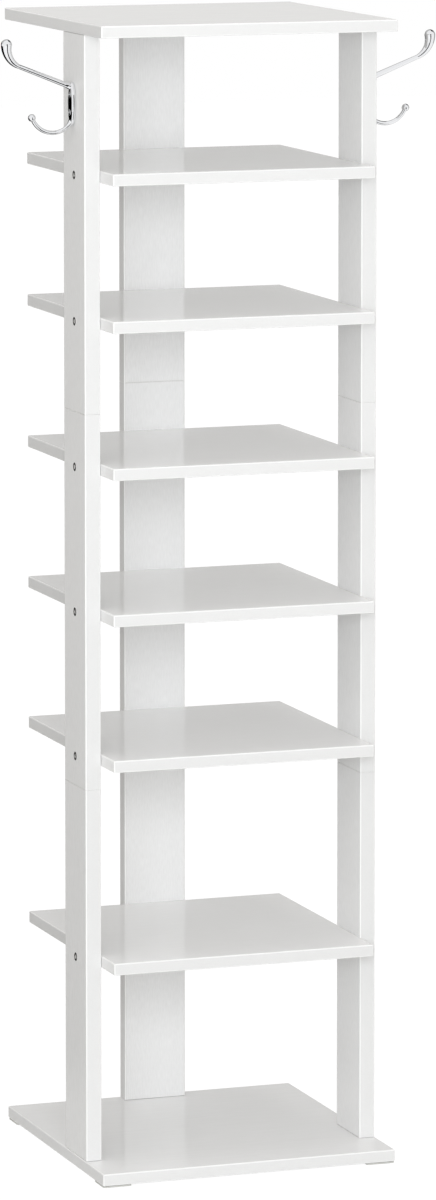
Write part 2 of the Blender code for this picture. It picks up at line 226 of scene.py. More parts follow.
def pvc(name, tones, roughness):
    """White PVC: extruded smooth, with a trace of peel and no grain."""
    material, tree, surface = new_finish(name)
    place = add_node(tree, "ShaderNodeTexCoord")
    peel = add_node(tree, "ShaderNodeTexNoise", {
        "Vector": place.outputs["Object"], "Scale": 1 / 0.0015, "Detail": 2.0})
    tone = add_node(tree, "ShaderNodeMix", {
        0: peel.outputs["Fac"], 6: srgb(tones[0]), 7: srgb(tones[1])}, data_type="RGBA")
    gloss = add_node(tree, "ShaderNodeMapRange", {
        "Value": peel.outputs["Fac"], "To Min": roughness[0], "To Max": roughness[1]})
    relief = add_node(tree, "ShaderNodeBump", {
        "Height": peel.outputs["Fac"], "Strength": 0.05, "Distance": 0.00005})
    tree.links.new(tone.outputs[2], surface.inputs["Base Color"])
    tree.links.new(gloss.outputs["Result"], surface.inputs["Roughness"])
    tree.links.new(relief.outputs["Normal"], surface.inputs["Normal"])
    surface.inputs["IOR"].default_value = 1.53
    return material


# PVC edge band: white right through, a touch greyer than the faces
edge_band = pvc("white_pvc_edge_band", tones=("#EAEAEA", "#EEEEEE"), roughness=(0.20, 0.28))

# Scraped PVC on the rounded edges: the scraper stretches it a little whiter, and it is painted paler
# still, near pure white, as a painted highlight, so every edge shows as a pale line
edge_highlight_pvc = pvc("scraped_pvc_painted_highlight", tones=("#FBFBFB", "#FEFEFE"), roughness=(0.16, 0.24))

# Hot-melt glue: a hairline between face and band, barely darker than they are
glue, tree, surface = new_finish("hot_melt_glue")
place = add_node(tree, "ShaderNodeTexCoord")
glue_spots = add_node(tree, "ShaderNodeTexNoise", {"Vector": place.outputs["Object"], "Scale": 1 / 0.003})
glue_tone = add_node(tree, "ShaderNodeMix", {
    0: glue_spots.outputs["Fac"], 6: srgb("#CFCCC5"), 7: srgb("#E4E2DE")}, data_type="RGBA")
tree.links.new(glue_tone.outputs[2], surface.inputs["Base Color"])
surface.inputs["Roughness"].default_value = 0.6


def square_faces(shape, axis):
    """The faces of a shape that look along an axis."""
    return [each_face for each_face in shape.faces if abs(each_face.normal[axis]) > SQUARE_ON]


def banded_board(node, thin, face, cut_axis=None, closed=(0, 0)):
    """A board with rounded bands on its edges and a fine glue line round both faces.

    Ends along the cut axis butt against other pieces: they are sawn square and just broken. Ends
    marked as closed are drawn up to the next length.
    """
    low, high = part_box(node)
    if cut_axis is not None:
        low[cut_axis] -= closed[0] * JOINT_CLOSING
        high[cut_axis] += closed[1] * JOINT_CLOSING
    shape = box_shape(low, high)
    banded = [edge for edge in shape.edges if cut_axis is None or span(edge, cut_axis) > EDGE_ROUND]
    highlight_faces = round_off(shape, banded, EDGE_ROUND, EDGE_STEPS)
    shape.normal_update()
    # The rounded faces take the pale PVC of the painted edge highlight, the rest the plain band
    for each_face in shape.faces:
        each_face.material_index = HIGHLIGHTED_EDGE if each_face in highlight_faces else BAND
    if cut_axis is not None:
        end_edges = dict.fromkeys(
            edge for each_face in square_faces(shape, cut_axis) for edge in each_face.edges)
        round_off(shape, list(end_edges), END_BREAK, END_STEPS)
        shape.normal_update()
    wide_faces = square_faces(shape, thin)
    bmesh.ops.inset_individual(shape, faces=wide_faces, thickness=BAND_THICKNESS - EDGE_ROUND)
    for depth in (-GLUE_LINE / 2, GLUE_LINE / 2):
        for each_face in wide_faces:
            each_face.material_index = GLUE
        bmesh.ops.inset_individual(shape, faces=wide_faces, thickness=GLUE_LINE, depth=depth)
    for each_face in wide_faces:
        each_face.material_index = FACE
    piece = add_mesh(node + "_banded", shape, [face, edge_band, glue, edge_highlight_pvc])
    stand_for(piece, node)
    return piece


base_board = banded_board("base_board", Z, board_face)


# Posts
# Each post is three equal lengths of 17.5 mm melamine-faced particleboard, banded along both edges.
# The grain runs up the post, and the square-cut ends leave a hairline at each butt joint.

# On the posts the pores show as a fine upright hatching, drawn 1.2 mm wide instead of 0.3 mm
post_face = melamine(
    "white_melamine_post", grain_axis=Z, pore_width=0.0012, pore_length=0.009,
    tones=("#F0F0F0", "#F7F7F7"), roughness=(0.36, 0.30))

# Which ends of a length, the lower and the upper one, meet another length
POST_LEVELS = {"lower": (0, 1), "middle": (1, 1), "upper": (1, 0)}
posts = {}
for post_name, thin in (("left", X), ("right", X), ("back", Y)):
    posts[post_name] = [
        banded_board(f"{post_name}_post_{level}", thin, post_face, cut_axis=Z, closed=closed)
        for level, closed in POST_LEVELS.items()]


# Shelves
# Six smaller squares of the same 13 mm board, held between the side posts and against the back post.
# They are banded all round, like the base.

SHELF_COUNT = 6
shelves = [banded_board(f"shelf_{number}", Z, board_face) for number in range(1, SHELF_COUNT + 1)]


# Top board
# The same square as the base, doweled down on the posts so that its upper face stays bare.
# Like the base, it reaches out past the side posts.

top_board = banded_board("top_board", Z, board_face)


# Dowels
# Fluted beech pins of 8 mm, glued blind into the butt joints and into the underside of the top.
# Nothing of them shows on the finished rack.

DOWEL_CHAMFER = 0.001
DOWEL_SIDES = 96
FLUTE_COUNT = 24
FLUTE_SHARE_OF_RADIUS = 0.06
HOLE_GAP = 0.00015
SHARP_ANGLE = math.radians(30)

# Beech: short pale flecks along the pin, with a dry turned surface
beech, tree, surface = new_finish("turned_beech")
place = add_node(tree, "ShaderNodeTexCoord")
fibres = add_node(tree, "ShaderNodeMapping", {
    "Vector": place.outputs["Object"], "Scale": (1 / 0.0005, 1 / 0.0005, 1 / 0.008)})
beech_grain = add_node(tree, "ShaderNodeTexNoise", {
    "Vector": fibres.outputs["Vector"], "Scale": 1.0, "Detail": 3.0})
beech_tone = add_node(tree, "ShaderNodeMix", {
    0: beech_grain.outputs["Fac"], 6: srgb("#B98A5A"), 7: srgb("#DDBB8C")}, data_type="RGBA")
beech_relief = add_node(tree, "ShaderNodeBump", {
    "Height": beech_grain.outputs["Fac"], "Strength": 0.3, "Distance": 0.0002})
tree.links.new(beech_tone.outputs[2], surface.inputs["Base Color"])
tree.links.new(beech_relief.outputs["Normal"], surface.inputs["Normal"])
surface.inputs["Roughness"].default_value = 0.65

# Particleboard core: pressed chips painted dark grey, much darker than real tan chipboard, as painted
# shade on the walls of the drilled holes, the only place where it shows
chipboard_painted_shade, tree, surface = new_finish("particleboard_core_painted_shade")
place = add_node(tree, "ShaderNodeTexCoord")
chips = add_node(tree, "ShaderNodeTexVoronoi", {
    "Vector": place.outputs["Object"], "Scale": 1 / 0.0015})
chip_tone = add_node(tree, "ShaderNodeMix", {
    0: chips.outputs["Distance"], 6: srgb("#4E4943"), 7: srgb("#7C746A")}, data_type="RGBA")
tree.links.new(chip_tone.outputs[2], surface.inputs["Base Color"])
surface.inputs["Roughness"].default_value = 0.9


def circle(turn):
    """The outline of a round ring."""
    return 1.0


def fluted(turn):
    """The outline of a dowel with pressed glue flutes."""
    return 1.0 - FLUTE_SHARE_OF_RADIUS * max(0.0, math.cos(FLUTE_COUNT * turn))


def ringed_solid(rings, sides):
    """A closed solid about Z from rings of radius, height and outline."""
    shape = bmesh.new()
    loops = []
    for radius, height, outline in rings:
        if radius == 0:
            loops.append([shape.verts.new((0, 0, height))])
            continue
        turns = [2 * math.pi * step / sides for step in range(sides)]
        loops.append([
            shape.verts.new((
                radius * outline(turn) * math.cos(turn), radius * outline(turn) * math.sin(turn), height))
            for turn in turns])
    for upper, lower in zip(loops, loops[1:]):
        for step in range(sides):
            following = (step + 1) % sides
            corners = (
                upper[step % len(upper)],
                lower[step % len(lower)],
                lower[following % len(lower)],
                upper[following % len(upper)],
            )
            shape.faces.new(dict.fromkeys(corners))
    bmesh.ops.recalc_face_normals(shape, faces=shape.faces)
    return shape


def settle(piece):
    """Makes the piece's modifiers part of its mesh."""
    bpy.context.view_layer.update()
    evaluated = piece.evaluated_get(bpy.context.evaluated_depsgraph_get())
    mesh = bpy.data.meshes.new_from_object(evaluated)
    piece.modifiers.clear()
    piece.data = mesh


def bore(piece, hole, wall):
    """Cuts a hole in a piece and gives its wall a material."""
    cutter = add_mesh("drill", hole.copy(), [wall])
    cut = piece.modifiers.new("hole", "BOOLEAN")
    cut.solver = "EXACT"
    cut.material_mode = "TRANSFER"
    cut.object = cutter
    settle(piece)
    bpy.data.objects.remove(cutter, do_unlink=True)


def set_dowel(node, pieces):
    """Turns one dowel and drills the two pieces that it joins."""
    low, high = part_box(node)
    radius = (high.x - low.x) / 2
    half = (high.z - low.z) / 2
    shape = ringed_solid([
        (0, half, circle),
        (radius - DOWEL_CHAMFER, half, circle),
        (radius, half - DOWEL_CHAMFER, fluted),
        (radius, DOWEL_CHAMFER - half, fluted),
        (radius - DOWEL_CHAMFER, -half, circle),
        (0, -half, circle),
    ], DOWEL_SIDES)
    hole_end = half + HOLE_GAP
    hole = ringed_solid([
        (0, hole_end, circle),
        (radius + HOLE_GAP, hole_end, circle),
        (radius + HOLE_GAP, -hole_end, circle),
        (0, -hole_end, circle),
    ], DOWEL_SIDES // 2)
    middle = Matrix.Translation((low + high) / 2)
    shape.transform(middle)
    hole.transform(middle)
    pin = add_mesh(node + "_fluted", shape, [beech])
    pin.data.set_sharp_from_angle(angle=SHARP_ANGLE)
    stand_for(pin, node)
    for piece in pieces:
        bore(piece, hole, chipboard_painted_shade)
    hole.free()


for post_name, lengths in posts.items():
    set_dowel(f"{post_name}_joint_dowel_1", lengths[:2])
    set_dowel(f"{post_name}_joint_dowel_2", lengths[1:])
    set_dowel(f"{post_name}_top_dowel", [lengths[2], top_board])


# Assembly screws
# Countersunk steel screws with a hexagon socket: one through each post into each shelf, and two up
# through the base into each post. The heads are black-zinc plated and sit just under the surface,
# and the sockets are painted pale, a painted highlight in each dark head.

SCREW_SIDES = 36
HEAD_RADIUS = 0.0045
HEAD_RIM = 0.0008
HEAD_BREAK = 0.0002
SHANK_RADIUS = 0.0025
SOCKET_RADIUS = 0.0023
SOCKET_DEPTH = 0.0020
SOCKET_POINT = 0.0005
SOCKET_MOUTH = 0.0003
SOCKET_BANDS = 3
SCREW_TIP = 0.004
SMOOTH_SHANK = 0.010
THREAD_PITCH = 0.0026
THREAD_STEPS = 5
THREAD_SHARE_OF_RADIUS = 0.22
HOLE_ABOVE = 0.0025
SHELF_SCREW_LENGTH = 0.048
BASE_SCREW_LENGTH = 0.040

# How much nearer to the surface the heads are drawn than in the CAD
HEAD_LIFT = 0.00035

# Black zinc: a dark passivated plate with a finely mottled tone
black_zinc, tree, surface = new_finish("black_zinc_plated_steel")
place = add_node(tree, "ShaderNodeTexCoord")
mottle = add_node(tree, "ShaderNodeTexNoise", {
    "Vector": place.outputs["Object"], "Scale": 1 / 0.0008, "Detail": 3.0})
zinc_tone = add_node(tree, "ShaderNodeMix", {
    0: mottle.outputs["Fac"], 6: srgb("#2E2F31"), 7: srgb("#4C4D50")}, data_type="RGBA")
zinc_gloss = add_node(tree, "ShaderNodeMapRange", {
    "Value": mottle.outputs["Fac"], "To Min": 0.25, "To Max": 0.40})
tree.links.new(zinc_tone.outputs[2], surface.inputs["Base Color"])
tree.links.new(zinc_gloss.outputs["Result"], surface.inputs["Roughness"])
surface.inputs["Metallic"].default_value = 1.0

# Socket steel: pale and a little torn, painted far paler than the plated head as a painted highlight in
# the socket
socket_highlight_steel, tree, surface = new_finish("socket_steel_painted_highlight")
place = add_node(tree, "ShaderNodeTexCoord")
broaching = add_node(tree, "ShaderNodeTexNoise", {
    "Vector": place.outputs["Object"], "Scale": 1 / 0.0006})
steel_tone = add_node(tree, "ShaderNodeMix", {
    0: broaching.outputs["Fac"], 6: srgb("#E6E6E4"), 7: srgb("#F8F8F6")}, data_type="RGBA")
tree.links.new(steel_tone.outputs[2], surface.inputs["Base Color"])
surface.inputs["Metallic"].default_value = 1.0
surface.inputs["Roughness"].default_value = 0.5


def hexagon(turn):
    """The outline of a hexagon socket."""
    sixth = math.radians(60)
    return math.cos(sixth / 2) / math.cos(turn % sixth - sixth / 2)


def thread(height):
    """The outline of a coarse thread where it is cut at this height."""
    def outline(turn):
        rise = (height / THREAD_PITCH + turn / (2 * math.pi)) % 1.0
        return 1.0 - THREAD_SHARE_OF_RADIUS * abs(2 * rise - 1.0)
    return outline


def screw_rings(length):
    """An assembly screw from the floor of its socket round to its point."""
    cone_foot = HEAD_RIM + HEAD_RADIUS - SHANK_RADIUS
    rings = [
        (0, -SOCKET_DEPTH - SOCKET_POINT, hexagon),
        (SOCKET_RADIUS, -SOCKET_DEPTH, hexagon),
        (SOCKET_RADIUS, -SOCKET_MOUTH, hexagon),
        (SOCKET_RADIUS + SOCKET_MOUTH, 0, hexagon),
        (HEAD_RADIUS - HEAD_BREAK, 0, circle),
        (HEAD_RADIUS, -HEAD_BREAK, circle),
        (HEAD_RADIUS, -HEAD_RIM, circle),
        (SHANK_RADIUS, -cone_foot, circle),
        (SHANK_RADIUS, -SMOOTH_SHANK, circle),
    ]
    threaded = length - SCREW_TIP - SMOOTH_SHANK
    count = round(threaded / THREAD_PITCH * THREAD_STEPS)
    for step in range(1, count + 1):
        height = -SMOOTH_SHANK - threaded * step / count
        rings.append((SHANK_RADIUS, height, thread(height)))
    rings.append((0, -length, circle))
    return rings


def screw_hole(length, head_radius, rim, shank_radius):
    """The countersunk hole that such a screw fills."""
    cone_foot = rim + head_radius - shank_radius
    return [
        (0, HOLE_ABOVE, circle),
        (head_radius + HOLE_GAP, HOLE_ABOVE, circle),
        (head_radius + HOLE_GAP, -rim, circle),
        (shank_radius + HOLE_GAP, -cone_foot, circle),
        (shank_radius + HOLE_GAP, -length - HOLE_GAP, circle),
        (0, -length - HOLE_GAP, circle),
    ]


def drive(node, rings, hole_rings, entered, materials, lift=0.0):
    """Sets a screw in the place of its CAD node.

    It drills each piece that it enters, whose wall material is given with the piece. The first
    material is the socket's, and the last one the rest of the screw's.
    """
    low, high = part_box(node)
    axis = max(range(3), key=lambda each: high[each] - low[each])
    from_below = axis == Z
    head = (low + high) / 2
    head[axis] = low[axis] if from_below or abs(low[axis]) > abs(high[axis]) else high[axis]
    inward = Vector((0, 0, 0))
    inward[axis] = 1 if head[axis] == low[axis] else -1
    head -= lift * inward
    place = Matrix.Translation(head) @ inward.to_track_quat("-Z", "Y").to_matrix().to_4x4()
    shape = ringed_solid(rings, SCREW_SIDES)
    shape.faces.ensure_lookup_table()
    for each_face in shape.faces[SOCKET_BANDS * SCREW_SIDES:]:
        each_face.material_index = len(materials) - 1
    shape.transform(place)
    screw = add_mesh(node + "_driven", shape, materials)
    screw.data.set_sharp_from_angle(angle=SHARP_ANGLE)
    stand_for(screw, node)
    hole = ringed_solid(hole_rings, SCREW_SIDES)
    hole.transform(place)
    for piece, wall in entered:
        bore(piece, hole, wall)
    hole.free()


def drive_assembly_screw(node, length, pieces):
    """Drives a black screw, with a painted highlight in its socket, into pieces of particleboard."""
    hole_rings = screw_hole(length, HEAD_RADIUS, HEAD_RIM, SHANK_RADIUS)
    entered = [(piece, chipboard_painted_shade) for piece in pieces]
    drive(node, screw_rings(length), hole_rings, entered, [socket_highlight_steel, black_zinc], HEAD_LIFT)


for post_name, lengths in posts.items():
    for number, shelf in enumerate(shelves, 1):
        screw_name = f"{post_name}_shelf_screw_{number}"
        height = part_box(screw_name)[0].z
        level = [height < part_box(f"{post_name}_post_{each}")[1].z for each in POST_LEVELS].index(True)
        drive_assembly_screw(screw_name, SHELF_SCREW_LENGTH, [lengths[level], shelf])
    for number in (1, 2):
        screw_name = f"{post_name}_base_screw_{number}"
        drive_assembly_screw(screw_name, BASE_SCREW_LENGTH, [base_board, lengths[0]])


# Coat hooks
# One zinc casting each, polished and chromed: an oval plate with a long rising arm that swells into
# a round tip, and a short lower prong with a ball end. Two raised screws hold it to the post.

HOOK_GAP = 0.0003
PLATE_HEIGHT = 0.046
PLATE_WIDTH = 0.017
PLATE_SIDES = 96

# The plate's section from its back to its crown: how far in from the rim, and how far off the back
PLATE_SECTION = (
    (0.0, 0.0), (0.0, 0.0024), (0.0002, 0.0030), (0.0006, 0.0035), (0.0012, 0.0039),
    (0.0020, 0.0042), (0.0035, 0.0044), (0.0055, 0.0045), (0.0075, 0.0045))

ARM_RISE = math.radians(21.5)
ARM_ROOT_X = 0.0014
ARM_ROOT_Z = 0.0175
ARM_STRAIGHT = 0.0632
ARM_STEPS = 60
ARM_ROOT_RADIUS = 0.0031
ARM_NECK_RADIUS = 0.0024
CURL_RADIUS = 0.0234
CURL_END = math.radians(95)
CURL_STEPS = 32
TIP_RADIUS = 0.006
PRONG_START = math.radians(213)
PRONG_END = math.radians(333)
PRONG_ROOT_X = 0.0026
PRONG_ROOT_Z = -0.0195
PRONG_ARC = 0.0246
PRONG_STEPS = 60
PRONG_RADIUS = 0.0023
BALL_RADIUS = 0.0042
ROOT_FLARE = 0.0014
ROOT_FLARE_REACH = 0.009
ROUND_END_STEPS = 10
BAR_SIDES = 40
BAR_POINT = 0.00005

# Chrome: a thin mirror plate that follows the faint ripple left by polishing the casting
chrome, tree, surface = new_finish("chromed_zinc")
place = add_node(tree, "ShaderNodeTexCoord")
polish = add_node(tree, "ShaderNodeTexNoise", {
    "Vector": place.outputs["Object"], "Scale": 1 / 0.006, "Detail": 1.0})
smear = add_node(tree, "ShaderNodeTexNoise", {
    "Vector": place.outputs["Object"], "Scale": 1 / 0.012, "Detail": 4.0})
chrome_gloss = add_node(tree, "ShaderNodeMapRange", {
    "Value": smear.outputs["Fac"], "To Min": 0.02, "To Max": 0.07})
chrome_relief = add_node(tree, "ShaderNodeBump", {
    "Height": polish.outputs["Fac"], "Strength": 0.02, "Distance": 0.0005})
tree.links.new(chrome_gloss.outputs["Result"], surface.inputs["Roughness"])
tree.links.new(chrome_relief.outputs["Normal"], surface.inputs["Normal"])
surface.inputs["Base Color"].default_value = srgb("#E9EAEC")
surface.inputs["Metallic"].default_value = 1.0


def round_end(points, x, z, angle, radius, start=0.0):
    """Rings of a round end of a bar, centred at x, z and pointing along the angle."""
    for step in range(1, ROUND_END_STEPS + 1):
        turn = start + (math.radians(90) - start) * step / ROUND_END_STEPS
        reach = radius * math.sin(turn)
        points.append((x + reach * math.cos(angle), z + reach * math.sin(angle), radius * math.cos(turn)))


def root_flare(distance):
    """How much a bar thickens where it runs into the plate, at this distance from its start."""
    return ROOT_FLARE * max(0.0, 1 - distance / ROOT_FLARE_REACH) ** 2


def arm_route():
    """Centre line and radius of the upper arm: straight rise, swelling curl, round tip."""
    points = []
    for step in range(ARM_STEPS):
        share = step / ARM_STEPS
        x = ARM_ROOT_X + ARM_STRAIGHT * share * math.cos(ARM_RISE)
        z = ARM_ROOT_Z + ARM_STRAIGHT * share * math.sin(ARM_RISE)
        radius = ARM_ROOT_RADIUS + (ARM_NECK_RADIUS - ARM_ROOT_RADIUS) * share
        points.append((x, z, radius + root_flare(ARM_STRAIGHT * share)))
    neck_x = ARM_ROOT_X + ARM_STRAIGHT * math.cos(ARM_RISE)
    neck_z = ARM_ROOT_Z + ARM_STRAIGHT * math.sin(ARM_RISE)
    for step in range(CURL_STEPS + 1):
        share = step / CURL_STEPS
        angle = ARM_RISE + (CURL_END - ARM_RISE) * share
        x = neck_x + CURL_RADIUS * (math.sin(angle) - math.sin(ARM_RISE))
        z = neck_z + CURL_RADIUS * (math.cos(ARM_RISE) - math.cos(angle))
        points.append((x, z, ARM_NECK_RADIUS + (TIP_RADIUS - ARM_NECK_RADIUS) * share))
    round_end(points, x, z, CURL_END, TIP_RADIUS)
    return points


def prong_route():
    """Centre line and radius of the lower prong: one arc that ends in a ball."""
    centre_x = PRONG_ROOT_X - PRONG_ARC * math.cos(PRONG_START)
    centre_z = PRONG_ROOT_Z - PRONG_ARC * math.sin(PRONG_START)
    points = []
    for step in range(PRONG_STEPS + 1):
        angle = PRONG_START + (PRONG_END - PRONG_START) * step / PRONG_STEPS
        x = centre_x + PRONG_ARC * math.cos(angle)
        z = centre_z + PRONG_ARC * math.sin(angle)
        points.append((x, z, PRONG_RADIUS + root_flare(PRONG_ARC * (angle - PRONG_START))))
    heading = PRONG_END + math.radians(90)
    neck = math.acos(PRONG_RADIUS / BALL_RADIUS)
    ball_x = x + BALL_RADIUS * math.sin(neck) * math.cos(heading)
    ball_z = z + BALL_RADIUS * math.sin(neck) * math.sin(heading)
    round_end(points, ball_x, ball_z, heading, BALL_RADIUS, -neck)
    return points


def lofted(loops):
    """A closed solid through a row of loops with as many points each."""
    shape = bmesh.new()
    rows = [[shape.verts.new(point) for point in loop] for loop in loops]
    for first, second in zip(rows, rows[1:]):
        for step in range(len(first)):
            following = (step + 1) % len(first)
            shape.faces.new((first[step], first[following], second[following], second[step]))
    shape.faces.new(rows[0])
    shape.faces.new(rows[-1])
    bmesh.ops.recalc_face_normals(shape, faces=shape.faces)
    return shape


def bar(route):
    """A round bar of changing radius along a route in the X-Z plane."""
    loops = []
    for index, (x, z, radius) in enumerate(route):
        before = route[max(index - 1, 0)]
        after = route[min(index + 1, len(route) - 1)]
        heading = math.atan2(after[1] - before[1], after[0] - before[0])
        reach = max(radius, BAR_POINT)
        turns = [2 * math.pi * step / BAR_SIDES for step in range(BAR_SIDES)]
        loops.append([
            (x - reach * math.cos(turn) * math.sin(heading), reach * math.sin(turn),
             z + reach * math.cos(turn) * math.cos(heading))
            for turn in turns])
    return lofted(loops)


def plate():
    """The oval plate with its mounting face on X = 0, rounded over to a softly crowned outer face."""
    loops = []
    for inset, x in PLATE_SECTION:
        turns = [2 * math.pi * step / PLATE_SIDES for step in range(PLATE_SIDES)]
        loops.append([
            (x, (PLATE_WIDTH / 2 - inset) * math.cos(turn), (PLATE_HEIGHT / 2 - inset) * math.sin(turn))
            for turn in turns])
    return lofted(loops)


casting = add_mesh("coat_hook_casting", plate(), [chrome])
for route in (arm_route(), prong_route()):
    limb = add_mesh("coat_hook_limb", bar(route), [chrome])
    join = casting.modifiers.new("join", "BOOLEAN")
    join.operation = "UNION"
    join.solver = "EXACT"
    join.object = limb
    settle(casting)
    bpy.data.objects.remove(limb, do_unlink=True)

hooks = {}
for side_name, outward in (("left", -1), ("right", 1)):
    low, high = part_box(f"{side_name}_post_upper")
    screw_low, screw_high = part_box(f"{side_name}_hook_screw_1")
    second_low, second_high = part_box(f"{side_name}_hook_screw_2")
    hook = bpy.data.objects.new(f"{side_name}_coat_hook_cast", casting.data)
    hook.location = (
        (high.x if outward > 0 else low.x) + outward * HOOK_GAP,
        (low.y + high.y) / 2,
        (screw_low.z + screw_high.z + second_low.z + second_high.z) / 4,
    )
    hook.rotation_euler.z = 0 if outward > 0 else math.pi
    bpy.context.scene.collection.objects.link(hook)
    stand_for(hook, f"{side_name}_coat_hook")
    hooks[side_name] = hook
bpy.data.objects.remove(casting, do_unlink=True)


# Hook screws
# Two raised countersunk screws hold each hook. Their domed heads have a cross recess and the same
# bright zinc plate all over, and they sit in countersinks in the hook's plate.

HOOK_HEAD_RADIUS = 0.0034
HOOK_HEAD_CROWN = 0.0009
HOOK_HEAD_RIM = 0.0004
HOOK_SHANK_RADIUS = 0.0017
HOOK_SCREW_LENGTH = 0.016
HOOK_SCREW_TIP = 0.003
CROWN_STEPS = 8
CROSS_REACH = 0.0017
CROSS_DEPTH = 0.0018
CROSS_POINT = 0.0002
CROSS_MOUTH_DROP = 0.00013
CROSS_LIP = math.radians(3)

# Half the width of an arm of the cross, and the reach of its floor, as shares of its reach at the top
CROSS_ARM = 0.22
CROSS_FLOOR = 0.4

# Bright zinc: a clear blue-white plate, smooth but less mirror-like than the chrome beside it
bright_zinc, tree, surface = new_finish("bright_zinc_plated_steel")
place = add_node(tree, "ShaderNodeTexCoord")
plating = add_node(tree, "ShaderNodeTexNoise", {
    "Vector": place.outputs["Object"], "Scale": 1 / 0.001, "Detail": 2.0})
plate_tone = add_node(tree, "ShaderNodeMix", {
    0: plating.outputs["Fac"], 6: srgb("#CBCCCE"), 7: srgb("#E2E3E6")}, data_type="RGBA")
plate_gloss = add_node(tree, "ShaderNodeMapRange", {
    "Value": plating.outputs["Fac"], "To Min": 0.14, "To Max": 0.26})
tree.links.new(plate_tone.outputs[2], surface.inputs["Base Color"])
tree.links.new(plate_gloss.outputs["Result"], surface.inputs["Roughness"])
surface.inputs["Metallic"].default_value = 1.0


def cross(turn):
    """The outline of a cross recess with straight arms."""
    beside = min(abs(math.cos(turn)), abs(math.sin(turn)))
    return CROSS_ARM / max(beside, CROSS_ARM)


def hook_screw_rings():
    """A raised countersunk screw from the floor of its recess round to its point."""
    rings = [
        (0, -CROSS_DEPTH - CROSS_POINT, circle),
        (CROSS_REACH * CROSS_FLOOR, -CROSS_DEPTH, cross),
        (CROSS_REACH, -CROSS_MOUTH_DROP, cross),
    ]
    recess_turn = math.asin(CROSS_REACH / HOOK_HEAD_RADIUS) + CROSS_LIP
    for step in range(CROWN_STEPS + 1):
        turn = recess_turn + (math.radians(90) - recess_turn) * step / CROWN_STEPS
        rings.append((
            HOOK_HEAD_RADIUS * math.sin(turn), HOOK_HEAD_CROWN * (math.cos(turn) - 1), circle))
    rim_foot = -HOOK_HEAD_CROWN - HOOK_HEAD_RIM
    end = -HOOK_HEAD_CROWN - HOOK_SCREW_LENGTH
    rings += [
        (HOOK_HEAD_RADIUS, rim_foot, circle),
        (HOOK_SHANK_RADIUS, rim_foot - HOOK_HEAD_RADIUS + HOOK_SHANK_RADIUS, circle),
        (HOOK_SHANK_RADIUS, end + HOOK_SCREW_TIP, circle),
        (0, end, circle),
    ]
    return rings


hook_hole = screw_hole(
    HOOK_HEAD_CROWN + HOOK_SCREW_LENGTH, HOOK_HEAD_RADIUS, HOOK_HEAD_CROWN + HOOK_HEAD_RIM,
    HOOK_SHANK_RADIUS)
for side_name, hook in hooks.items():
    upper_length = posts[side_name][-1]
    for number in (1, 2):
        drive(f"{side_name}_hook_screw_{number}", hook_screw_rings(), hook_hole,
              [(hook, chrome), (upper_length, chipboard_painted_shade)], [bright_zinc])

# Faces stay flat right up to their rounded edges and to the rims of their holes
HOLE_RIM_ANGLE = math.radians(40)
for hook in hooks.values():
    hook.data.set_sharp_from_angle(angle=HOLE_RIM_ANGLE)
for piece in (base_board, top_board, *shelves, *posts["left"], *posts["right"], *posts["back"]):
    piece.data.set_sharp_from_angle(angle=HOLE_RIM_ANGLE)
    flat_faces = piece.modifiers.new("flat_faces", "WEIGHTED_NORMAL")
    flat_faces.keep_sharp = True


# Floor and background
# A plain white sweep. To the camera, and in reflections, it is white, with a trace of the shadow
# of the rack; to the rest of the light it is a pale matt floor.

FLOOR_HALF = 14.0
FLOOR_WHITE_SHARE = 0.85
FLOOR_GLOW = 1.14
ROOM_LEVEL = 0.6
ROOM_TINT = (1.0, 0.980, 0.955, 1)
WHITE = (1, 1, 1, 1)


def white_when_seen(tree):
    """Is 1 for rays from the camera, a mirror or glass, and 0 for diffuse light."""
    rays = add_node(tree, "ShaderNodeLightPath")
    seen = add_node(tree, "ShaderNodeMath", {
        0: rays.outputs["Is Camera Ray"], 1: rays.outputs["Is Glossy Ray"]}, operation="MAXIMUM")
    return add_node(tree, "ShaderNodeMath", {
        0: seen.outputs[0], 1: rays.outputs["Is Transmission Ray"]}, operation="MAXIMUM").outputs[0]


# Studio paper: pale and matt, mixed with a white glow where it is seen
floor_paint, tree, surface = new_finish("white_studio_floor")
share_white = add_node(tree, "ShaderNodeMath", {
    0: white_when_seen(tree), 1: FLOOR_WHITE_SHARE}, operation="MULTIPLY")
paper = add_node(tree, "ShaderNodeBsdfDiffuse", {"Color": srgb("#D8D8D6")})
glow = add_node(tree, "ShaderNodeEmission", {"Color": WHITE, "Strength": FLOOR_GLOW})
sweep = add_node(tree, "ShaderNodeMixShader", {
    0: share_white.outputs[0], 1: paper.outputs[0], 2: glow.outputs[0]})
tree.links.new(sweep.outputs[0], tree.nodes["Material Output"].inputs["Surface"])
tree.nodes.remove(surface)
shape = bmesh.new()
bmesh.ops.create_grid(shape, x_segments=1, y_segments=1, size=FLOOR_HALF)
floor = add_mesh("floor", shape, [floor_paint])

world = bpy.data.worlds.new("studio")
world.use_nodes = True
bpy.context.scene.world = world
tree = world.node_tree
seen = white_when_seen(tree)
level = add_node(tree, "ShaderNodeMapRange", {"Value": seen, "To Min": ROOM_LEVEL, "To Max": 1.0})
tree.links.new(level.outputs["Result"], tree.nodes["Background"].inputs["Strength"])
tint = add_node(tree, "ShaderNodeMix", {0: seen, 6: ROOM_TINT, 7: WHITE}, data_type="RGBA")
tree.links.new(tint.outputs[2], tree.nodes["Background"].inputs["Color"])


# Studio cards
# Grey and black cards stand and lie round the rack, hidden from the camera. They show only in glossy
# surfaces, where they give the boards their reflections and the chrome its dark lines.

CARD_TINT = (1.0, 0.994, 0.982)

# Edges that several cards share
FAR_SIDE = 7.0
BACK_WALL = 4.5
CEILING = 3.6
ON_FLOOR = 0.002
WALL_SPLIT = -0.7
WALL_HEIGHT = 2.6
STRIP_FOOT = 0.86
STRIP_HEAD = 1.1
LEFT_STRIP = -0.30
BASE_LEFT = -0.1685
BASE_BACK = 0.17
LEFT_STRIP_END = 0.35
BEHIND_BASE = 0.5
CEILING_SPLIT = 1.1
RIGHT_START = -0.5
RIGHT_WALL = 3.5


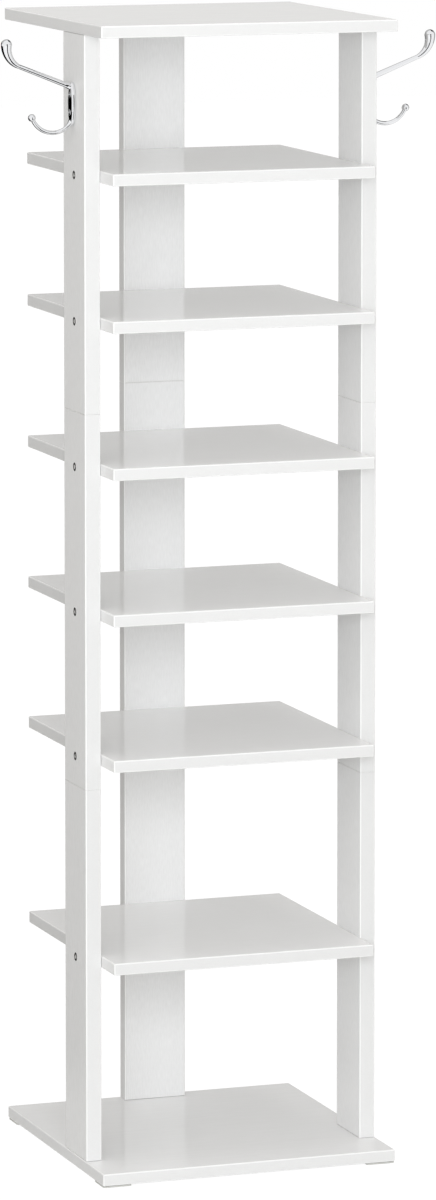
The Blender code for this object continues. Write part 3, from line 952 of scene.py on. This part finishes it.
def add_card(name, corners, grey):
    """A flat card between two corners; one of its three sides is nothing."""
    paint, tree, surface = new_finish(name + "_paper")
    tone = add_node(tree, "ShaderNodeEmission", {
        "Color": (*(grey * share for share in CARD_TINT), 1)})
    tree.links.new(tone.outputs[0], tree.nodes["Material Output"].inputs["Surface"])
    tree.nodes.remove(surface)
    low, high = (Vector(corner) for corner in corners)
    flat = [axis for axis in range(3) if low[axis] == high[axis]][0]
    across, along = [axis for axis in range(3) if axis != flat]
    shape = bmesh.new()
    outline = []
    for side, end in ((low, low), (high, low), (high, high), (low, high)):
        corner = low.copy()
        corner[across] = side[across]
        corner[along] = end[along]
        outline.append(shape.verts.new(corner))
    shape.faces.new(outline)
    card = add_mesh(name, shape, [paint])
    card.visible_camera = False
    card.visible_diffuse = False
    card.visible_transmission = False
    card.visible_shadow = False


# The back left is dark with one paler strip, for the left sides of the boards and posts
add_card("back_left_lower_card", ((-FAR_SIDE, BACK_WALL, 0), (WALL_SPLIT, BACK_WALL, STRIP_FOOT)), 0.0)
add_card("back_left_strip_card",
         ((-FAR_SIDE, BACK_WALL, STRIP_FOOT), (WALL_SPLIT, BACK_WALL, STRIP_HEAD)), 0.5)
add_card("back_left_upper_card",
         ((-FAR_SIDE, BACK_WALL, STRIP_HEAD), (WALL_SPLIT, BACK_WALL, CEILING)), 0.0)

# The floor at the left and behind, for the right post's inner face and the lower left sides
add_card("back_left_floor_card", ((-FAR_SIDE, -0.1, ON_FLOOR), (LEFT_STRIP, BACK_WALL, ON_FLOOR)), 0.0)
add_card("left_floor_card", ((LEFT_STRIP, -0.2, ON_FLOOR), (BASE_LEFT, LEFT_STRIP_END, ON_FLOOR)), 0.45)
add_card("back_floor_card",
         ((LEFT_STRIP, LEFT_STRIP_END, ON_FLOOR), (BASE_LEFT, BACK_WALL, ON_FLOOR)), 0.0)
add_card("behind_base_card", ((BASE_LEFT, BASE_BACK, ON_FLOOR), (0.9, BEHIND_BASE, ON_FLOOR)), 0.25)

# The back right, the ceiling and the right are greys, for the upper faces of the boards and the chrome
add_card("back_right_wall_card", ((WALL_SPLIT, BACK_WALL, 0), (FAR_SIDE, BACK_WALL, WALL_HEIGHT)), 0.61)
add_card("top_strip_card", ((-0.4, 1.0, 1.25), (1.6, 1.0, 1.60)), 0.72)
add_card("back_right_floor_card",
         ((BASE_LEFT, BEHIND_BASE, ON_FLOOR), (FAR_SIDE, BACK_WALL, ON_FLOOR)), 0.60)
add_card("back_right_upper_card",
         ((WALL_SPLIT, BACK_WALL, WALL_HEIGHT), (FAR_SIDE, BACK_WALL, CEILING)), 0.3)
add_card("left_ceiling_card", ((-FAR_SIDE, 0.6, CEILING), (CEILING_SPLIT, BACK_WALL, CEILING)), 0.60)
add_card("right_ceiling_card",
         ((CEILING_SPLIT, RIGHT_START, CEILING), (FAR_SIDE, BACK_WALL, CEILING)), 0.06)
add_card("right_card", ((RIGHT_WALL, RIGHT_START, 0), (RIGHT_WALL, BACK_WALL, CEILING)), 0.45)

# The front is black, for the dark lines in the chrome and the fronts of the boards and posts
add_card("front_floor_card", ((-0.45, -FAR_SIDE, ON_FLOOR), (0.95, -1.0, ON_FLOOR)), 0.0)
add_card("front_card", ((-1.6, -FAR_SIDE, 0), (1.45, -FAR_SIDE, 3.0)), 0.0)


# Lights
# A broad soft panel in front at the left, centred a little above the rack, lights the fronts and
# reaches the back post between the shelves. A weaker one stands high at the left for the sides, and
# one hangs overhead for the top.

def add_panel_light(name, place, target, width, height, power, colour):
    """A soft rectangular light that faces a point."""
    panel = bpy.data.lights.new(name, "AREA")
    panel.shape = "RECTANGLE"
    panel.size = width
    panel.size_y = height
    panel.energy = power
    panel.color = colour
    light = bpy.data.objects.new(name, panel)
    light.location = place
    light.rotation_euler = (Vector(target) - Vector(place)).to_track_quat("-Z", "Y").to_euler()
    light.visible_glossy = False
    bpy.context.scene.collection.objects.link(light)


add_panel_light(
    "key", place=(-1.65, -4.5, 1.50), target=(0, 0, 0.8),
    width=2.2, height=1.6, power=101, colour=(0.945, 0.975, 1.0))
add_panel_light(
    "front_left", place=(-2.6, -1.9, 2.4), target=(0, 0, 0.65),
    width=2.0, height=1.6, power=14, colour=(1.0, 0.985, 0.965))
add_panel_light(
    "overhead", place=(0.2, -0.3, 4.2), target=(0, 0, 1.2),
    width=1.6, height=1.6, power=23, colour=(1.0, 1.0, 1.0))

bpy.context.scene.view_settings.view_transform = "Standard"
